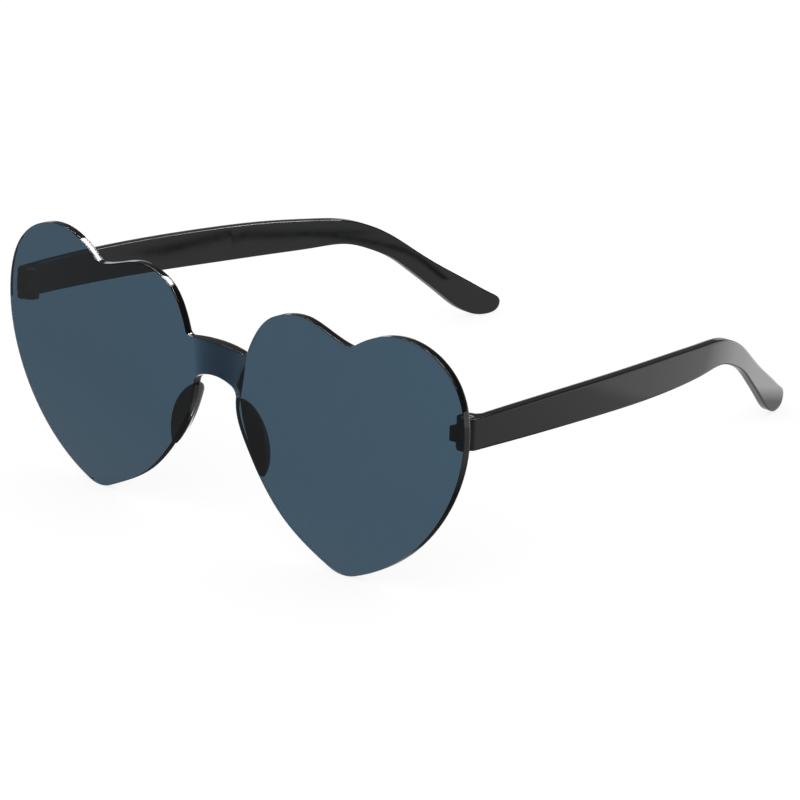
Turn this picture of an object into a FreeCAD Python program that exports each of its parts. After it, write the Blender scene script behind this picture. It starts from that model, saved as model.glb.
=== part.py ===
import FreeCAD, Part
import math
import os
from FreeCAD import Placement, Rotation, Vector

# Heart shaped sunglasses with a one-piece lens. The pieces are drawn in the frame of the lens: X across with
# the wearer's left at +X, Z up the lens from its tips, Y towards the wearer from the front of the bridge. At
# the end the whole leans back on to its heart tips and ear tips, with the origin on the floor under the middle
# of its box.

SIZES = {
    # Lens plate: two hearts and the bridge, cut from one domed sheet
    "front_width": "148",
    "nose_gap": "13.8",
    "heart_height": "58.9",
    "lens_thickness": "2",
    "dome_radius": "640",
    "bridge_height": "7.1",
    "bridge_crown": "0.55",
    "gap_run": "1.6",
    "arch_radius": "14",
    "tip_round": "10",
    "notch_round": "3",
    "bridge_round": "1.5",
    "arch_round": "2.6",
    "rib_depth": "1.2",
    # Nose pads
    "pad_length": "19.3",
    "pad_width": "5.3",
    "pad_belly": "1.5",
    "pad_tilt": "24.4",
    "pad_depth": "3.5",
    "pad_inset": "0.1",
    "ridge_inset": "3.8",
    "ridge_width": "1.85",
    "ridge_belly": "0.35",
    "ridge_lean": "0.45",
    # Hinges
    "hinge_inset": "3.2",
    "hinge_setback": "2.95",
    "barrel_radius": "2.1",
    "tongue_height": "3.5",
    "tongue_radius": "1.7",
    "tongue_foot": "2.2",
    "slot_play": "0.1",
    "slot_room": "0.25",
    "bore_radius": "0.75",
    "screw_radius": "0.7",
    "head_radius": "1.15",
    "head_height": "0.7",
    "driver_slot_width": "0.4",
    "driver_slot_depth": "0.35",
    "nut_flats": "2.5",
    "nut_height": "1",
    "thread_gap": "0.03",
    "seat_gap": "0.05",
    "bond_gap": "0.05",
    # Temples
    "temple_height": "7.1",
    "temple_thickness": "2.1",
    "temple_reach": "134.8",
    "temple_drop": "29.1",
    "temple_inset": "0.35",
    "front_bevel": "1.1",
    "stop_width": "1.7",
    "stop_gap": "0.3",
    "straight_run": "5.3",
    "bow_run": "56",
    "bow_radius": "380",
    "ear_bow_radius": "232",
    "ear_bow_run": "50",
    "knuckle_blend": "1.3",
    # Every cutting solid runs past what it cuts by this much
    "overrun": "1",
}

# Levels above the heart tips, in shares of the height of the hearts
DOME_LEVEL_SHARE = 0.535
BRIDGE_LEVEL_SHARE = 0.747
HINGE_LEVEL_SHARE = 0.6825

# The outline of the left heart in shares of its width and height, from the bridge round to the nose gap
BRIDGE_CORNER_SHARE = 0.043
INNER_LOBE_SHARES = ((0.0835, 0.8506), (0.1386, 0.9219), (0.2176, 0.9605), (0.2951, 0.9694), (0.3741, 0.949),
                     (0.4426, 0.9236))
NOTCH_SHARES = (0.5112, 0.9075)
OUTER_LOBE_SHARES = ((0.5782, 0.9576), (0.7168, 1), (0.8569, 0.966), (0.9553, 0.8693), (1, 0.6791),
                     (0.956, 0.4389), (0.8212, 0.2071), (0.6677, 0.0696))
TIP_SHARES = (0.4873, -0.0145)
INNER_FLANK_SHARES = ((0.3636, 0.0492), (0.2355, 0.1392), (0.1326, 0.2581), (0.0462, 0.4024),
                      (0.0089, 0.4873))

# The side view of the temple: shares of its reach, of its drop at mid-height and of its height at the hinge
TEMPLE_STATION_SHARES = ((0.122, -0.005, 1.099), (0.285, -0.029, 1.155), (0.449, -0.065, 1.176),
                         (0.56, -0.09, 1.113), (0.649, -0.112, 0.965), (0.709, -0.137, 0.845),
                         (0.7535, -0.208, 0.85), (0.798, -0.32, 0.8), (0.8425, -0.481, 0.845),
                         (0.8945, -0.675, 1.028))
EAR_TIP_SHARES = ((0.944, -0.698), (0.983, -0.816), (1, -0.887), (0.997, -0.955), (0.974, -1),
                  (0.948, -0.983), (0.923, -0.918))

# The straight tail of the arm's plan, cut off by the side view: a share of the reach
TAIL_SHARE = 0.25

# Sections of a nose pad: shares of its depth, and of the way from the shape of its foot to that of its ridge
PAD_FOOT_SHARES = (-0.2, 0)
PAD_WAIST_SHARES = (0.6, 0.4)
PAD_RIDGE_SHARES = (1, 1)

doc = FreeCAD.newDocument("HeartSunglasses")
sheet = doc.addObject("Spreadsheet::Sheet", "Sizes")
LEVELS = {
    "dome_level": f"=heart_height * {DOME_LEVEL_SHARE}",
    "bridge_level": f"=heart_height * {BRIDGE_LEVEL_SHARE}",
    "hinge_level": f"=heart_height * {HINGE_LEVEL_SHARE}",
}
for row, (alias, text) in enumerate([*SIZES.items(), *LEVELS.items()], 1):
    sheet.set(f"A{row}", alias)
    sheet.set(f"B{row}", text)
    sheet.setAlias(f"B{row}", alias)
doc.recompute()


def size(alias):
    return float(sheet.get(alias))


def origin_plane(body, role):
    return next(item for item in body.Origin.OriginFeatures if item.Role == role)


def sketch(body, name, role, edges, shift=None):
    """A sketch of edges on one of the body's planes, moved along its normal by the expression shift."""
    made = body.newObject("Sketcher::SketchObject", name)
    made.AttachmentSupport = [(origin_plane(body, role), "")]
    made.MapMode = "FlatFace"
    if shift:
        made.setExpression("AttachmentOffset.Base.z", shift)
    for edge in edges:
        made.addGeometry(edge)
    return made


def feature(body, kind, name, profile, **expressions):
    """A feature of the body made from the sketch profile, with its sizes bound to the sheet."""
    made = body.newObject(kind, name)
    made.Profile = profile
    for prop, text in expressions.items():
        made.setExpression(prop, text)
    return made


def boolean(kind, name, base, tool):
    made = doc.addObject(kind, name)
    made.Base = base
    made.Tool = tool
    return made


def new_body(name):
    return doc.addObject("PartDesign::Body", name)


def spline(points):
    """A smooth curve through the points, in one edge from each point to the next."""
    corners = [Vector(*point) for point in points]
    whole = Part.BSplineCurve()
    whole.interpolate(corners)
    stops = [whole.parameter(corner) for corner in corners]
    edges = []
    for start, end in zip(stops, stops[1:]):
        edge = whole.copy()
        edge.segment(start, end)
        edges.append(edge)
    return edges


def polyline(points):
    """Straight edges through the points and back to the first."""
    corners = [Vector(*point) for point in points]
    return [Part.LineSegment(a, b) for a, b in zip(corners, corners[1:] + corners[:1])]


def arc(start, middle, end):
    return Part.Arc(Vector(*start), Vector(*middle), Vector(*end))


def line(start, end):
    return Part.LineSegment(Vector(*start), Vector(*end))


def circle(centre, radius):
    return Part.Circle(Vector(*centre), Vector(0, 0, 1), radius)


half_width = size("front_width") / 2
half_gap = size("nose_gap") / 2
heart_width = half_width - half_gap
sheet_back = size("lens_thickness")


def heart(shares):
    """A point of the left heart, from its shares of the heart's width and height."""
    return half_gap + shares[0] * heart_width, shares[1] * size("heart_height")


def lens_back(x, level):
    """How far behind the front of the bridge the back of the lens lies."""
    radius = size("dome_radius") - sheet_back
    return size("dome_radius") - math.sqrt(radius**2 - x**2 - (level - size("dome_level"))**2)


# Lens plate

crown_level = size("bridge_level") - size("bridge_height")
arch_level = crown_level - size("arch_radius") + math.sqrt(size("arch_radius")**2 - half_gap**2)
gap_level = arch_level - size("gap_run")


def mirrored(points):
    return [(-x, z) for x, z in points]


def lens_outline():
    """The closed outline of the plate, and its corners by the name of the size that rounds them."""
    bridge_corner = (half_gap + BRIDGE_CORNER_SHARE * heart_width, size("bridge_level"))
    notch = heart(NOTCH_SHARES)
    tip = heart(TIP_SHARES)
    gap_side = (half_gap, gap_level)
    arch_corner = (half_gap, arch_level)
    runs = ([bridge_corner, *map(heart, INNER_LOBE_SHARES), notch],
            [notch, *map(heart, OUTER_LOBE_SHARES), tip],
            [tip, *map(heart, INNER_FLANK_SHARES), gap_side])
    edges = []
    for side in (list, mirrored):
        for run in runs:
            edges += spline(side(run))
        edges.append(line(*side([gap_side, arch_corner])))
    edges.append(arc(arch_corner, (0, crown_level), *mirrored([arch_corner])))
    bridge_top = (0, size("bridge_level") + size("bridge_crown"))
    edges.append(arc(bridge_corner, bridge_top, *mirrored([bridge_corner])))
    return edges, {"tip_round": tip, "notch_round": notch, "bridge_round": bridge_corner,
                   "arch_round": arch_corner}


def edges_at(shape, corner):
    """The names of the edges that run front to back at the corner and at its mirror image."""
    names = []
    for number, edge in enumerate(shape.Edges, 1):
        first, last = (vertex.Point for vertex in (edge.Vertexes[0], edge.Vertexes[-1]))
        off_corner = max(abs(abs(first.x) - corner[0]), abs(first.z - corner[1]))
        if first.y != last.y and first.x == last.x and off_corner < size("bond_gap"):
            names.append(f"Edge{number}")
    return names


def dome(name, depth):
    """The ball whose near side is the lens surface at that depth behind its front."""
    ball = doc.addObject("Part::Sphere", name)
    ball.setExpression("Radius", f"Sizes.dome_radius - ({depth})")
    ball.setExpression("Placement.Base.y", "Sizes.dome_radius")
    ball.setExpression("Placement.Base.z", "Sizes.dome_level")
    return ball


def lens_plate():
    outline, corners = lens_outline()
    plate = new_body("LensBlank")
    profile = sketch(plate, "LensOutline", "XZ_Plane", outline, "Sizes.overrun")
    tip = feature(plate, "PartDesign::Pad", "LensPad", profile,
                  Length="Sizes.front_width ^ 2 / (4 * Sizes.dome_radius) + Sizes.lens_thickness"
                         " + Sizes.rib_depth + 2 * Sizes.overrun")
    tip.Reversed = True
    doc.recompute()
    for rounding, corner in corners.items():
        fillet = plate.newObject("PartDesign::Fillet", rounding.title().replace("_", ""))
        fillet.Base = (tip, edges_at(tip.Shape, corner))
        fillet.setExpression("Radius", f"Sizes.{rounding}")
        doc.recompute()
        tip = fillet
    hollow = boolean("Part::Cut", "LensHollow", dome("BackDome", "Sizes.lens_thickness"), bridge_rib())
    domed = boolean("Part::Common", "DomedBlank", plate, dome("FrontDome", "0"))
    return boolean("Part::Cut", "LensShield", domed, hollow)


def bridge_rib():
    """The thicker back of the bridge: a bulge between the inner edges of the hearts, narrower downwards."""
    rib = new_body("BridgeRib")
    top_half = half_gap + BRIDGE_CORNER_SHARE * heart_width

    def section(name, half, shift):
        corners = (half, sheet_back, 0), (half, 0, 0), (-half, 0, 0), (-half, sheet_back, 0)
        edges = [line(start, end) for start, end in zip(corners, corners[1:])]
        edges.append(arc(corners[3], (0, sheet_back + size("rib_depth"), 0), corners[0]))
        return sketch(rib, name, "XY_Plane", edges, shift)

    loft = feature(rib, "PartDesign::AdditiveLoft", "RibLoft",
                   section("RibLow", half_gap, "Sizes.bridge_level - 2 * Sizes.bridge_height"))
    loft.Sections = [section("RibTop", top_half, "Sizes.bridge_level + Sizes.overrun")]
    loft.Ruled = True
    return rib


# Nose pads

def nose_pad():
    """A bump whose wide foot follows the edge of the heart and which narrows to a short ridge at the back."""
    pad = new_body("PadWedge")
    tilt = math.radians(size("pad_tilt"))
    start = (half_gap + size("pad_inset"), gap_level)

    def place(along, across):
        return (start[0] + along * math.sin(tilt) + across * math.cos(tilt),
                start[1] - along * math.cos(tilt) + across * math.sin(tilt), 0)

    def section(name, depth_share, ridge_share):
        def between(foot, ridge):
            return foot + (ridge - foot) * ridge_share

        inset, lean = between(0, size("ridge_inset")), between(0, size("ridge_lean"))
        belly = between(size("pad_belly"), size("ridge_belly"))
        width = between(size("pad_width"), size("ridge_width"))
        ends = place(inset, lean), place(size("pad_length") - inset, lean)
        middle = size("pad_length") / 2
        edges = [arc(ends[0], place(middle, lean - belly), ends[1]),
                 arc(ends[1], place(middle, lean - belly + width), ends[0])]
        depth = f"Sizes.lens_thickness + {depth_share} * Sizes.pad_depth"
        return sketch(pad, name, "XZ_Plane", edges, f"-({depth})")

    loft = feature(pad, "PartDesign::AdditiveLoft", "PadLoft", section("PadFoot", *PAD_FOOT_SHARES))
    loft.Sections = [section("PadWaist", *PAD_WAIST_SHARES), section("PadRidge", *PAD_RIDGE_SHARES)]
    return boolean("Part::Common", "NosePadLeft", pad, bond_dome("PadSeat"))


def bond_dome(name):
    return dome(name, "Sizes.lens_thickness + Sizes.bond_gap")


# Hinges

axis_x = half_width - size("hinge_inset")
axis_y = lens_back(axis_x, size("hinge_level")) + size("hinge_setback")
TONGUE_LOW = "Sizes.hinge_level - Sizes.tongue_height / 2"
TEMPLE_TOP = "Sizes.hinge_level + Sizes.temple_height / 2"
TEMPLE_FOOT = "Sizes.hinge_level - Sizes.temple_height / 2"


def hinge_tongue():
    """The lug on the back of the lens that the fork of the temple turns on."""
    tongue = new_body("TongueLug")
    radius = size("tongue_radius")
    front = axis_y - size("hinge_setback") - sheet_back
    inner, outer = axis_x - radius, axis_x + radius
    foot = (axis_x - size("tongue_foot"), front, 0)
    edges = [line(foot, (outer, front, 0)), line((outer, front, 0), (outer, axis_y, 0)),
             arc((outer, axis_y, 0), (axis_x, axis_y + radius, 0), (inner, axis_y, 0)),
             line((inner, axis_y, 0), foot)]
    profile = sketch(tongue, "TongueOutline", "XY_Plane", edges, TONGUE_LOW)
    feature(tongue, "PartDesign::Pad", "TonguePad", profile, Length="Sizes.tongue_height")
    bore = sketch(tongue, "TongueBore", "XY_Plane", [circle((axis_x, axis_y, 0), size("bore_radius"))])
    through(tongue, "TongueBoreCut", bore)
    return boolean("Part::Common", "HingeTongueLeft", tongue, bond_dome("TongueSeat"))


def through(owner, name, profile):
    cut = feature(owner, "PartDesign::Pocket", name, profile)
    cut.Type = "ThroughAll"
    cut.Midplane = True
    return cut


def hinge_screw():
    """The slotted screw that is the hinge pin, its head sunk in the upper ear and its end flush below."""
    screw = new_body("HingeScrewLeft")
    top = size("hinge_level") + size("temple_height") / 2
    seat = top - size("head_height")
    end = size("hinge_level") - size("temple_height") / 2
    head, shank = axis_x + size("head_radius"), axis_x + size("screw_radius")
    points = [(axis_x, top, 0), (head, top, 0), (head, seat, 0), (shank, seat, 0), (shank, end, 0),
              (axis_x, end, 0)]
    profile = sketch(screw, "ScrewProfile", "XZ_Plane", polyline(points), f"-({axis_y})")
    turned = feature(screw, "PartDesign::Revolution", "ScrewTurned", profile)
    turned.ReferenceAxis = (profile, ["Edge6"])
    turned.Angle = 360
    reach = size("head_radius") + size("overrun")
    half_slot = size("driver_slot_width") / 2
    slot = [(axis_x - reach, axis_y - half_slot, 0), (axis_x + reach, axis_y - half_slot, 0),
            (axis_x + reach, axis_y + half_slot, 0), (axis_x - reach, axis_y + half_slot, 0)]
    profile = sketch(screw, "DriverSlot", "XY_Plane", polyline(slot), TEMPLE_TOP)
    feature(screw, "PartDesign::Pocket", "DriverSlotCut", profile, Length="Sizes.driver_slot_depth")
    return screw


def hexagon(flats):
    radius = flats / math.sqrt(3)
    turns = [turn * math.pi / 3 for turn in range(6)]
    return polyline([(axis_x + radius * math.cos(turn), axis_y + radius * math.sin(turn), 0)
                     for turn in turns])


def hinge_nut():
    nut = new_body("HingeNutLeft")
    thread = circle((axis_x, axis_y, 0), size("screw_radius") + size("thread_gap"))
    profile = sketch(nut, "NutOutline", "XY_Plane", hexagon(size("nut_flats")) + [thread], TEMPLE_FOOT)
    feature(nut, "PartDesign::Pad", "NutPad", profile, Length="Sizes.nut_height")
    return nut


# Temples

def temple_plan():
    """The arm from above: a knuckle that stops on the lens, a straight run, two arcs and a straight tail."""
    radius = size("barrel_radius")
    outer_x = half_width - size("temple_inset")
    bow_start = axis_y + size("straight_run")
    bow, ear_bow = size("bow_radius"), size("ear_bow_radius")
    turn = math.asin(size("bow_run") / bow)
    last = math.asin(size("ear_bow_run") / ear_bow + math.sin(turn))
    centre = Vector(outer_x - bow, bow_start, 0)
    ear_centre = centre + Vector(math.cos(turn), math.sin(turn), 0) * (bow - ear_bow)
    tail = Vector(-math.sin(last), math.cos(last), 0) * size("temple_reach") * TAIL_SHARE

    def face(offset):
        """The two arcs and the end of the tail of the face at that offset inside the outer one."""
        def spot(middle, reach, angle):
            return middle + Vector(math.cos(angle), math.sin(angle), 0) * (reach - offset)

        first = [spot(centre, bow, angle) for angle in (0, turn / 2, turn)]
        second = [spot(ear_centre, ear_bow, angle) for angle in (turn, (turn + last) / 2, last)]
        return first, second, second[2] + tail

    outer_bow, outer_ear, outer_end = face(0)
    inner_bow, inner_ear, inner_end = face(size("temple_thickness"))
    front = (axis_x, axis_y - radius, 0)
    stop_inner, stop_outer = ((x, lens_back(x, size("hinge_level")) + size("stop_gap"), 0)
                              for x in (axis_x, axis_x + size("stop_width")))
    wall_front = (outer_x, axis_y - radius + size("front_bevel"), 0)
    back = (axis_x, axis_y + radius, 0)
    arm_start = (inner_bow[0].x, axis_y + radius + size("knuckle_blend"), 0)
    return [line(front, stop_inner), line(stop_inner, stop_outer), line(stop_outer, wall_front),
            line(wall_front, outer_bow[0]), arc(*outer_bow), arc(*outer_ear), line(outer_ear[2], outer_end),
            line(outer_end, inner_end), line(inner_end, inner_ear[2]), arc(*reversed(inner_ear)),
            arc(*reversed(inner_bow)), line(inner_bow[0], arm_start), line(arm_start, back),
            arc(back, (axis_x - radius, axis_y, 0), front)]


def temple_side():
    """The closed side view of the arm: a curve from the hinge round the ear hook and back, and the end."""
    front = axis_y - size("barrel_radius")
    level = size("hinge_level")

    def place(run, drop, rise=0):
        return front + run * size("temple_reach"), level + drop * size("temple_drop") + rise, 0

    half = size("temple_height") / 2
    top = [place(run, drop, share * half) for run, drop, share in TEMPLE_STATION_SHARES]
    low = [place(run, drop, -share * half) for run, drop, share in TEMPLE_STATION_SHARES]
    ear = [place(run, drop) for run, drop in EAR_TIP_SHARES]
    start, end = place(0, 0, half), place(0, 0, -half)
    lens_end = axis_y - size("hinge_setback")
    nose_top, nose_low = (lens_end, level + half, 0), (lens_end, level - half, 0)
    return spline([start, *top, *ear, *reversed(low), end]) + [line(end, nose_low), line(nose_low, nose_top),
                                                               line(nose_top, start)]


def temple():
    arm = new_body("TempleLeft")
    plan = sketch(arm, "TemplePlan", "XY_Plane", temple_plan())
    feature(arm, "PartDesign::Pad", "TemplePad", plan, Length="Sizes.heart_height")
    over = size("overrun")
    front = axis_y - size("hinge_setback") - over
    back = axis_y + size("temple_reach") + size("heart_height")
    frame = [(front, -over, 0), (back, -over, 0), (back, size("heart_height") + over, 0),
             (front, size("heart_height") + over, 0)]
    side = sketch(arm, "TempleSide", "YZ_Plane", polyline(frame) + temple_side())
    through(arm, "TempleSideCut", side)

    room = size("tongue_radius") + size("slot_room")
    corner = room * math.sqrt(0.5)
    far = room + size("barrel_radius") + over
    slot = [line((axis_x + room, axis_y, 0), (axis_x + room, axis_y - far, 0)),
            line((axis_x + room, axis_y - far, 0), (axis_x - far, axis_y - far, 0)),
            line((axis_x - far, axis_y - far, 0), (axis_x - far, axis_y + room, 0)),
            line((axis_x - far, axis_y + room, 0), (axis_x, axis_y + room, 0)),
            arc((axis_x, axis_y + room, 0), (axis_x + corner, axis_y + corner, 0),
                (axis_x + room, axis_y, 0))]
    profile = sketch(arm, "ForkSlot", "XY_Plane", slot,
                     "Sizes.hinge_level + Sizes.tongue_height / 2 + Sizes.slot_play")
    feature(arm, "PartDesign::Pocket", "ForkSlotCut", profile,
            Length="Sizes.tongue_height + 2 * Sizes.slot_play")
    bore = sketch(arm, "ForkBore", "XY_Plane", [circle((axis_x, axis_y, 0), size("bore_radius"))])
    through(arm, "ForkBoreCut", bore)
    head = [circle((axis_x, axis_y, 0), size("head_radius") + size("seat_gap"))]
    profile = sketch(arm, "HeadSeat", "XY_Plane", head, f"{TEMPLE_TOP} + Sizes.overrun")
    feature(arm, "PartDesign::Pocket", "HeadSeatCut", profile,
            Length="Sizes.head_height + Sizes.seat_gap + Sizes.overrun")
    nut = hexagon(size("nut_flats") + 2 * size("seat_gap"))
    profile = sketch(arm, "NutSeat", "XY_Plane", nut, f"{TEMPLE_FOOT} + Sizes.nut_height + Sizes.seat_gap")
    feature(arm, "PartDesign::Pocket", "NutSeatCut", profile,
            Length="Sizes.nut_height + Sizes.seat_gap + Sizes.overrun")
    return arm


# The assembly

def mirror(source, name):
    made = doc.addObject("Part::Mirroring", name)
    made.Source = source
    made.Normal = Vector(1, 0, 0)
    return made


def resting_lean(front, arm):
    """The angle in degrees that brings the heart tips and the ear tips to one level, from points on both."""
    lean = 0
    for _ in range(6):
        low = []
        for shape in (front, arm):
            points, _ = shape.tessellate(size("bond_gap"))
            across, up = math.cos(lean), math.sin(lean)
            turned = [(p.y * across + p.z * up, p.z * across - p.y * up) for p in points]
            low.append(min(turned, key=lambda point: point[1]))
        lean += math.atan2(low[1][1] - low[0][1], low[1][0] - low[0][0])
    return math.degrees(lean)


lens = lens_plate()
left = {"nose_pad": nose_pad(), "hinge_tongue": hinge_tongue(), "temple": temple(),
        "hinge_screw": hinge_screw(), "hinge_nut": hinge_nut()}
doc.recompute()

lean = Rotation(Vector(1, 0, 0), -resting_lean(lens.Shape, left["temple"].Shape))
lens.Placement = Placement(Vector(), lean)
left["temple"].Placement = Placement(Vector(), lean)
box = lens.Shape.optimalBoundingBox()
box.add(left["temple"].Shape.optimalBoundingBox())
seat = Placement(Vector(0, -box.Center.y, -box.ZMin), lean)

lens.Placement = seat
lens.Label = "lens_shield"
nodes = [lens]
for name, piece in left.items():
    piece.Placement = seat
    piece.Label = f"{name}_left"
    twin = mirror(piece, "Right" + name.title().replace("_", ""))
    twin.Label = f"{name}_right"
    nodes += [piece, twin]
doc.recompute()

for item in doc.Objects:
    if "Invalid" in item.State or "Error" in item.State:
        raise RuntimeError(f"{item.Label} did not recompute: {item.State}")
for node in nodes:
    if node.Shape.isNull() or not node.Shape.isValid() or len(node.Shape.Solids) != 1:
        raise RuntimeError(f"{node.Label} is not one valid solid")

os.makedirs("parts", exist_ok=True)
for node in nodes:
    node.Shape.exportStep(f"parts/{node.Label}.step")
    extent = node.Shape.optimalBoundingBox()
    sides = " x ".join(f"{side:.2f}" for side in (extent.XLength, extent.YLength, extent.ZLength))
    print(f"{node.Label}: {sides} mm, {node.Shape.Volume:.1f} mm3")
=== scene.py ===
import math

import bpy
from mathutils import Matrix, Vector

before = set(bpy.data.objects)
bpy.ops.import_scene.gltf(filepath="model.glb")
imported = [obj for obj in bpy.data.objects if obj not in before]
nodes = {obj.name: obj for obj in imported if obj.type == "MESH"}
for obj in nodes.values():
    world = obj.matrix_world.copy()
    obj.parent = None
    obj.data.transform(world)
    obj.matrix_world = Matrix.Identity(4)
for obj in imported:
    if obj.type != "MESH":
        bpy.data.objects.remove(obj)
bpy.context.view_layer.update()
scene = bpy.context.scene
scene.view_settings.view_transform = "Standard"

MM = 0.001

# The photograph's camera: where it looks, from which side, how far off and through which lens
TARGET = Vector((58.45, -68.05, 46.69)) * MM
AZIMUTH = math.radians(45.4)
ELEVATION = math.radians(22.12)
ROLL = math.radians(-1.95)
DISTANCE = 1312.85 * MM
SENSOR_WIDTH = 36
FOCAL_LENGTH = 270
CLIP_TIMES = 100

# Values between which nearly all of a noise pattern lies
NOISE_RANGE = (0.3, 0.7)

# Gloss black plastic of the arms, pads and hinge tongues
PLASTIC_DARK = (0.0095, 0.010, 0.011)
PLASTIC_LIGHT = (0.014, 0.0145, 0.0155)
PLASTIC_ROUGHNESS = (0.05, 0.08)
PLASTIC_IOR = 1.5
PLASTIC_RADIUS = 0.8 * MM
FLOW_SCALE = 60
FLOW_DETAIL = 2
FLOW_STRENGTH = 0.05
FLOW_DEPTH = 0.1 * MM
FINE_SCALE = 400
FINE_DETAIL = 3

# Smoke polycarbonate of the lens
TINT_SCALE = 30
TINT_DETAIL = 2
TINT_DARK = (0.95, 0.97, 0.98)
TINT_LIGHT = (1, 1, 1)
LENS_IOR = 1.5
LENS_COAT_ROUGHNESS = 0.03
SMOKE_COLOUR = (0.1, 0.29, 0.4, 1)
SMOKE_DENSITY = 1500
RIM_RADIUS = 0.7 * MM
# Where the rim's see-through colour is painted dark, a painted shade: which facing counts as rim, and how
# clear it stays
RIM_FACING = (0.3, 0.5)
RIM_CLEARNESS_IN_PAINTED_SHADE = 0.05

# Steel of the screws and nuts
STEEL_DARK = (0.42, 0.42, 0.43)
STEEL_LIGHT = (0.56, 0.56, 0.57)
STEEL_ROUGHNESS = (0.25, 0.4)
STEEL_SCALE = 2500
STEEL_DETAIL = 2

# Rounded edges: in the materials of the lens and the plastic, and in the meshes of the small pieces
SOFT_EDGE_SAMPLES = 16
SMALL_BEVEL = 0.12 * MM
STEEL_BEVEL = 0.06 * MM
WELD_DISTANCE = 0.002 * MM
EDGE_ANGLE = math.radians(35)
FLAT_WEIGHT = 100
BEVEL_STEPS = 2

# Surround and floor
SKY_FILL = 0.8
SKY_GLOSS = 0.1
FLOOR_SIZE = 6.0
FLOOR_COLOUR = (0.95, 0.95, 0.95, 1)
FLOOR_ROUGHNESS = 0.9
FLOOR_GLOW = 0.75
FLOOR_WHITE = 1.12

# The floor in the gloss, a painted reflection: painted lighter from the front to the middle
GLOSS_FRONT = 0.21
GLOSS_FRONT_Y = -120 * MM
GLOSS_MIDDLE = 0.6
GLOSS_MIDDLE_Y = 65 * MM

# Painted shade on it under the edges of the hearts: where it starts, is full, fades and ends, on each axis
NEAR_SHADE_X = (50 * MM, 56 * MM, 80 * MM, 110 * MM)
NEAR_SHADE_Y = (-78 * MM, -66 * MM, -10 * MM, 20 * MM)
FAR_SHADE_X = (-45 * MM, -38 * MM, 8 * MM, 14 * MM)
FAR_SHADE_Y = (-78 * MM, -66 * MM, -50 * MM, -48 * MM)
SHADE_DEPTH = 0.85

# A bent line of painted shade on it, which the far arm mirrors: each run has a slant, places across it and
# places along it
ARM_LINE_SLANT = -0.57
ARM_LINE = (-5.5 * MM, -4 * MM, -2 * MM, -0.5 * MM)
ARM_LINE_Y = (28 * MM, 32 * MM, 49 * MM, 50.5 * MM)
HOOK_LINE_SLANT = 0.3
HOOK_LINE = (52.2 * MM, 53 * MM, 54 * MM, 54.8 * MM)
HOOK_LINE_X = (-18 * MM, -16 * MM, 22 * MM, 25 * MM)

# Painted light on it, which the side of the far pad, the near arm and its hook mirror
SPOT_X = (-45 * MM, -38 * MM, -17 * MM, -12 * MM)
SPOT_Y = (-47 * MM, -45.5 * MM, -38 * MM, -34 * MM)
SPOT_LIGHT = 1.8
STEP_X = (60 * MM, 75 * MM)
STEP_Y = (54 * MM, 63 * MM)
STEP_LIGHT = 0.33
HOOK_X = (20 * MM, 45 * MM, 64 * MM, 80 * MM)
HOOK_Y = (71 * MM, 80 * MM)
HOOK_LIGHT = 1.2

# Strip light behind the object
KEY_PLACE = (0.08, 0.98, 1.1)
KEY_LENGTH = 3.0
KEY_WIDTH = 0.08
KEY_POWER = 10.0


# Nodes that the materials and the stage share

def find(tree, kind):
    """The first node of a kind in the tree."""
    return next(node for node in tree.nodes if node.type == kind)


def new_material(name):
    """A new material with a Principled shader; gives the material, its tree and the shader."""
    material = bpy.data.materials.new(name)
    material.use_nodes = True
    tree = material.node_tree
    return material, tree, find(tree, "BSDF_PRINCIPLED")


def feed(tree, value, socket):
    """Links the value to the socket, or sets it there if it is a plain number."""
    if isinstance(value, bpy.types.NodeSocket):
        tree.links.new(value, socket)
    else:
        socket.default_value = value


def maths(tree, operation, first, second=0):
    """The result of an operation on one or two values, each a number or a socket."""
    node = tree.nodes.new("ShaderNodeMath")
    node.operation = operation
    feed(tree, first, node.inputs[0])
    feed(tree, second, node.inputs[1])
    return node.outputs["Value"]


def between(tree, value, low, high, first, last):
    """Runs from first to last while the value runs from low to high."""
    run = tree.nodes.new("ShaderNodeMapRange")
    for name, source in zip(("Value", "From Min", "From Max", "To Min", "To Max"),
                            (value, low, high, first, last)):
        feed(tree, source, run.inputs[name])
    return run.outputs["Result"]


def axes_of(tree, vector):
    """A node whose outputs X, Y and Z are the parts of a vector."""
    axes = tree.nodes.new("ShaderNodeSeparateXYZ")
    tree.links.new(vector, axes.inputs["Vector"])
    return axes


# Materials

def noise(tree, scale, detail):
    """A noise pattern fixed to the object."""
    place = tree.nodes.new("ShaderNodeTexCoord")
    pattern = tree.nodes.new("ShaderNodeTexNoise")
    pattern.inputs["Scale"].default_value = scale
    pattern.inputs["Detail"].default_value = detail
    tree.links.new(place.outputs["Object"], pattern.inputs["Vector"])
    return pattern.outputs["Fac"]


def ramp(tree, value, dark, light):
    """A colour between dark and light that follows the pattern value."""
    colours = tree.nodes.new("ShaderNodeValToRGB")
    colours.color_ramp.elements[0].color = (*dark, 1)
    colours.color_ramp.elements[1].color = (*light, 1)
    tree.links.new(value, colours.inputs["Fac"])
    return colours.outputs["Color"]


def soft_edges(tree, radius):
    """A normal that rounds the piece's edges."""
    edge = tree.nodes.new("ShaderNodeBevel")
    edge.samples = SOFT_EDGE_SAMPLES
    edge.inputs["Radius"].default_value = radius
    return edge.outputs["Normal"]


def bump(tree, normal, value, strength, depth):
    """The normal, roughened by the pattern value."""
    relief = tree.nodes.new("ShaderNodeBump")
    relief.inputs["Strength"].default_value = strength
    relief.inputs["Distance"].default_value = depth
    tree.links.new(value, relief.inputs["Height"])
    tree.links.new(normal, relief.inputs["Normal"])
    return relief.outputs["Normal"]


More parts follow.
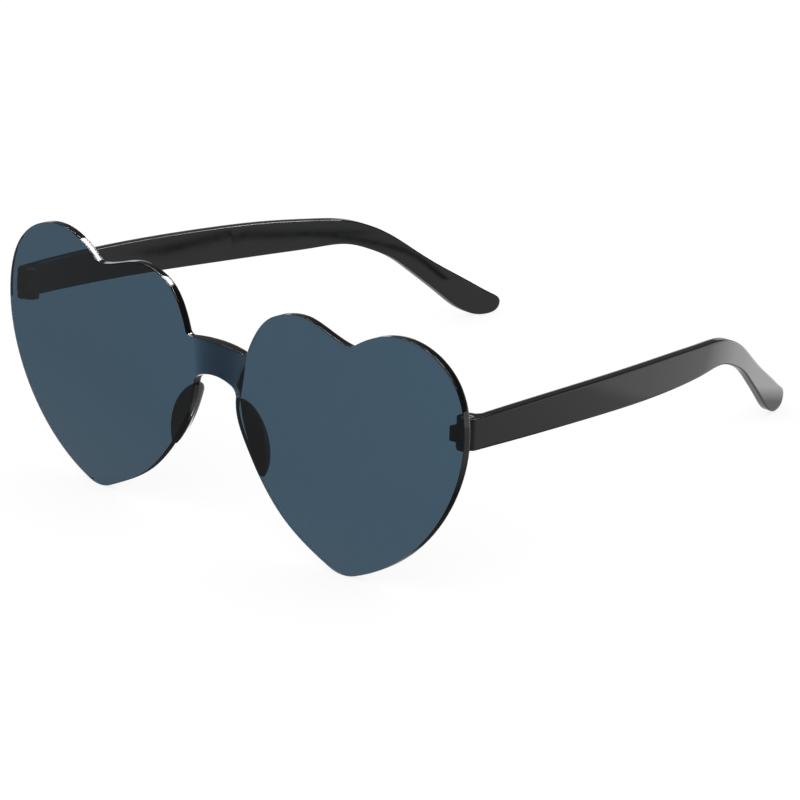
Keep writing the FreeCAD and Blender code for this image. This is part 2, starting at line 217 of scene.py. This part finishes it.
def black_plastic():
    """Gloss black moulded plastic: slightly uneven gloss and the faint waviness of a moulded face."""
    material, tree, shader = new_material("gloss_black_plastic")
    flow = noise(tree, FLOW_SCALE, FLOW_DETAIL)
    fine = noise(tree, FINE_SCALE, FINE_DETAIL)
    tree.links.new(ramp(tree, flow, PLASTIC_DARK, PLASTIC_LIGHT), shader.inputs["Base Color"])
    feed(tree, between(tree, fine, *NOISE_RANGE, *PLASTIC_ROUGHNESS), shader.inputs["Roughness"])
    normal = bump(tree, soft_edges(tree, PLASTIC_RADIUS), flow, FLOW_STRENGTH, FLOW_DEPTH)
    tree.links.new(normal, shader.inputs["Normal"])
    shader.inputs["IOR"].default_value = PLASTIC_IOR
    return material


def painted_rim_shade(tree):
    """One on the lens's front and back, and near nothing on its rim, so that the rim lets little light
    through: painted shade.
    """
    place = tree.nodes.new("ShaderNodeTexCoord")
    facing = maths(tree, "ABSOLUTE", axes_of(tree, place.outputs["Normal"]).outputs["Y"])
    return between(tree, facing, *RIM_FACING, RIM_CLEARNESS_IN_PAINTED_SHADE, 1)


def smoke_lens():
    """Polished see-through smoke polycarbonate that darkens with its thickness. Its coat does the
    mirroring, with a rounded normal that draws light lines along the rim."""
    material, tree, shader = new_material("smoke_polycarbonate")
    tint = ramp(tree, noise(tree, TINT_SCALE, TINT_DETAIL), TINT_DARK, TINT_LIGHT)
    # The see-through colour, painted dark on the rim as painted shade
    clear = tree.nodes.new("ShaderNodeVectorMath")
    clear.operation = "SCALE"
    tree.links.new(tint, clear.inputs["Vector"])
    tree.links.new(painted_rim_shade(tree), clear.inputs["Scale"])
    tree.links.new(clear.outputs["Vector"], shader.inputs["Base Color"])
    shader.inputs["Transmission Weight"].default_value = 1
    shader.inputs["IOR"].default_value = LENS_IOR
    shader.inputs["Specular Tint"].default_value = (0, 0, 0, 1)
    shader.inputs["Roughness"].default_value = 0
    shader.inputs["Coat Weight"].default_value = 1
    shader.inputs["Coat IOR"].default_value = LENS_IOR
    shader.inputs["Coat Roughness"].default_value = LENS_COAT_ROUGHNESS
    tree.links.new(soft_edges(tree, RIM_RADIUS), shader.inputs["Coat Normal"])
    absorb = tree.nodes.new("ShaderNodeVolumeAbsorption")
    absorb.inputs["Color"].default_value = SMOKE_COLOUR
    absorb.inputs["Density"].default_value = SMOKE_DENSITY
    tree.links.new(absorb.outputs["Volume"], find(tree, "OUTPUT_MATERIAL").inputs["Volume"])
    return material


def hinge_steel():
    """Turned steel of the hinge screws and nuts."""
    material, tree, shader = new_material("hinge_steel")
    grain = noise(tree, STEEL_SCALE, STEEL_DETAIL)
    tree.links.new(ramp(tree, grain, STEEL_DARK, STEEL_LIGHT), shader.inputs["Base Color"])
    feed(tree, between(tree, grain, *NOISE_RANGE, *STEEL_ROUGHNESS), shader.inputs["Roughness"])
    shader.inputs["Metallic"].default_value = 1
    return material


# Pieces

def paint(name, material):
    """Gives a CAD node its material."""
    piece = nodes[name]
    piece.data.materials.clear()
    piece.data.materials.append(material)
    return piece


def dress(name, material, width):
    """Gives a CAD node its material and rounds its sharp edges, with the wide faces kept flat in shade."""
    piece = paint(name, material)
    weld = piece.modifiers.new("weld", "WELD")
    weld.merge_threshold = WELD_DISTANCE
    bevel = piece.modifiers.new("rounding", "BEVEL")
    bevel.limit_method = "ANGLE"
    bevel.angle_limit = EDGE_ANGLE
    bevel.width = width
    bevel.segments = BEVEL_STEPS
    bevel.use_clamp_overlap = False
    shade = piece.modifiers.new("shade", "WEIGHTED_NORMAL")
    shade.mode = "FACE_AREA"
    shade.weight = FLAT_WEIGHT


def dress_pieces():
    """Gives every piece of the glasses its look."""
    plastic = black_plastic()
    steel = hinge_steel()
    paint("lens_shield", smoke_lens())
    for side in ("left", "right"):
        paint(f"temple_{side}", plastic)
        dress(f"nose_pad_{side}", plastic, SMALL_BEVEL)
        dress(f"hinge_tongue_{side}", plastic, SMALL_BEVEL)
        dress(f"hinge_screw_{side}", steel, STEEL_BEVEL)
        dress(f"hinge_nut_{side}", steel, STEEL_BEVEL)


# Stage

def light_path(tree):
    """Two switches: one for rays that see the stage as the camera does, also through the lens, and one for
    rays that a gloss sends back."""
    path = tree.nodes.new("ShaderNodeLightPath")
    through = path.outputs["Is Transmission Ray"]
    seen = maths(tree, "MAXIMUM", path.outputs["Is Camera Ray"], through)
    gloss = maths(tree, "SUBTRACT", path.outputs["Is Glossy Ray"], through)
    return seen, maths(tree, "MAXIMUM", gloss, 0)


def make_world():
    """A surround that is seen as white, lights the pieces a little less and is dim in their gloss."""
    world = bpy.data.worlds.new("white_surround")
    world.use_nodes = True
    tree = world.node_tree
    ground = find(tree, "BACKGROUND")
    ground.inputs["Color"].default_value = (1, 1, 1, 1)
    seen, gloss = light_path(tree)
    direct = between(tree, seen, 0, 1, SKY_FILL, 1)
    feed(tree, between(tree, gloss, 0, 1, direct, SKY_GLOSS), ground.inputs["Strength"])
    scene.world = world


def window(tree, value, start, full, fade, end):
    """Rises from nothing to one and falls back again while the value passes the four places."""
    rise = between(tree, value, start, full, 0, 1)
    return maths(tree, "MULTIPLY", rise, between(tree, value, fade, end, 1, 0))


def patch(tree, first, first_places, second, second_places):
    """One where both values lie inside their windows, nothing outside."""
    inside = window(tree, first, *first_places)
    return maths(tree, "MULTIPLY", inside, window(tree, second, *second_places))


def painted_shade_line(tree, across, back):
    """One on the bent line of painted shade that the far arm mirrors: a run along the arm and a run along
    its hook.
    """
    arm_slant = maths(tree, "ADD", across, maths(tree, "MULTIPLY", back, ARM_LINE_SLANT))
    hook_slant = maths(tree, "ADD", back, maths(tree, "MULTIPLY", across, HOOK_LINE_SLANT))
    arm_run = patch(tree, arm_slant, ARM_LINE, back, ARM_LINE_Y)
    hook_run = patch(tree, hook_slant, HOOK_LINE, across, HOOK_LINE_X)
    return maths(tree, "MAXIMUM", arm_run, hook_run)


def floor_in_gloss(tree, across, back):
    """How bright the gloss shows the floor, a painted reflection: in painted shade under the edges of the
    hearts, with a painted dark line for the far arm and a painted light spot for the far pad, painted
    lighter beside the near arm and brightest at its hook."""
    base = between(tree, back, GLOSS_FRONT_Y, GLOSS_MIDDLE_Y, GLOSS_FRONT, GLOSS_MIDDLE)
    # Painted shade under the edges of the hearts
    near_shade = patch(tree, across, NEAR_SHADE_X, back, NEAR_SHADE_Y)
    far_shade = patch(tree, across, FAR_SHADE_X, back, FAR_SHADE_Y)
    shade = maths(tree, "MULTIPLY", maths(tree, "ADD", near_shade, far_shade), SHADE_DEPTH)
    dark = maths(tree, "MAXIMUM", shade, painted_shade_line(tree, across, back))
    # Painted light: a spot for the far pad, a step beside the near arm and a patch at its hook
    spot = maths(tree, "MULTIPLY", patch(tree, across, SPOT_X, back, SPOT_Y), SPOT_LIGHT)
    step_across = between(tree, across, *STEP_X, 0, 1)
    step = maths(tree, "MULTIPLY", step_across, between(tree, back, *STEP_Y, 0, STEP_LIGHT))
    hook_across = window(tree, across, *HOOK_X)
    hook = maths(tree, "MULTIPLY", hook_across, between(tree, back, *HOOK_Y, 0, HOOK_LIGHT))
    total = maths(tree, "MULTIPLY", base, maths(tree, "SUBTRACT", 1, dark))
    for more in (spot, step, hook):
        total = maths(tree, "ADD", total, more)
    return total


def make_floor():
    """A white floor with a faint shadow, since part of its white is its own glow."""
    half = FLOOR_SIZE / 2
    corners = [(-half, -half, 0), (half, -half, 0), (half, half, 0), (-half, half, 0)]
    mesh = bpy.data.meshes.new("floor")
    mesh.from_pydata(corners, [], [(0, 1, 2, 3)])
    floor = bpy.data.objects.new("floor", mesh)
    scene.collection.objects.link(floor)
    material, tree, shader = new_material("white_floor")
    shader.inputs["Base Color"].default_value = FLOOR_COLOUR
    shader.inputs["Roughness"].default_value = FLOOR_ROUGHNESS
    shader.inputs["Specular IOR Level"].default_value = 0
    glow = tree.nodes.new("ShaderNodeEmission")
    place = tree.nodes.new("ShaderNodeNewGeometry")
    axes = axes_of(tree, place.outputs["Position"])
    # What the gloss sees of the floor: a painted reflection with painted shade, a painted dark line and
    # painted light
    painted_reflection = floor_in_gloss(tree, axes.outputs["X"], axes.outputs["Y"])
    seen, gloss = light_path(tree)
    feed(tree, between(tree, gloss, 0, 1, FLOOR_WHITE, painted_reflection), glow.inputs["Strength"])
    mix = tree.nodes.new("ShaderNodeMixShader")
    direct = between(tree, seen, 0, 1, 0, FLOOR_GLOW)
    feed(tree, between(tree, gloss, 0, 1, direct, 1), mix.inputs["Fac"])
    tree.links.new(shader.outputs["BSDF"], mix.inputs[1])
    tree.links.new(glow.outputs["Emission"], mix.inputs[2])
    tree.links.new(mix.outputs["Shader"], find(tree, "OUTPUT_MATERIAL").inputs["Surface"])
    mesh.materials.append(material)
    return floor


def make_lamp(floor):
    """A long strip light behind the object, for light lines along its edges. It leaves the floor unlit."""
    lamp = bpy.data.lights.new("key_strip", "AREA")
    lamp.shape = "RECTANGLE"
    lamp.size = KEY_LENGTH
    lamp.size_y = KEY_WIDTH
    lamp.energy = KEY_POWER
    holder = bpy.data.objects.new("key_strip", lamp)
    holder.location = KEY_PLACE
    holder.rotation_mode = "QUATERNION"
    holder.rotation_quaternion = Vector(KEY_PLACE).to_track_quat("Z", "Y")
    holder.visible_transmission = False
    scene.collection.objects.link(holder)
    unlit = bpy.data.collections.new("unlit")
    unlit.objects.link(floor)
    unlit.collection_objects[0].light_linking.link_state = "EXCLUDE"
    holder.light_linking.receiver_collection = unlit


def make_camera():
    """The photograph's camera."""
    camera = bpy.data.cameras.new("camera")
    camera.sensor_width = SENSOR_WIDTH
    camera.lens = FOCAL_LENGTH
    camera.clip_start = DISTANCE / CLIP_TIMES
    camera.clip_end = DISTANCE * CLIP_TIMES
    holder = bpy.data.objects.new("camera", camera)
    back = Vector((math.sin(AZIMUTH) * math.cos(ELEVATION), -math.cos(AZIMUTH) * math.cos(ELEVATION),
                   math.sin(ELEVATION)))
    level = Vector((math.cos(AZIMUTH), math.sin(AZIMUTH), 0))
    turn = Matrix.Rotation(ROLL, 3, back)
    right = turn @ level
    up = turn @ back.cross(level)
    rotation = Matrix((right, up, back)).transposed().to_4x4()
    holder.matrix_world = Matrix.Translation(TARGET + back * DISTANCE) @ rotation
    scene.collection.objects.link(holder)
    scene.camera = holder


dress_pieces()
make_world()
make_lamp(make_floor())
make_camera()
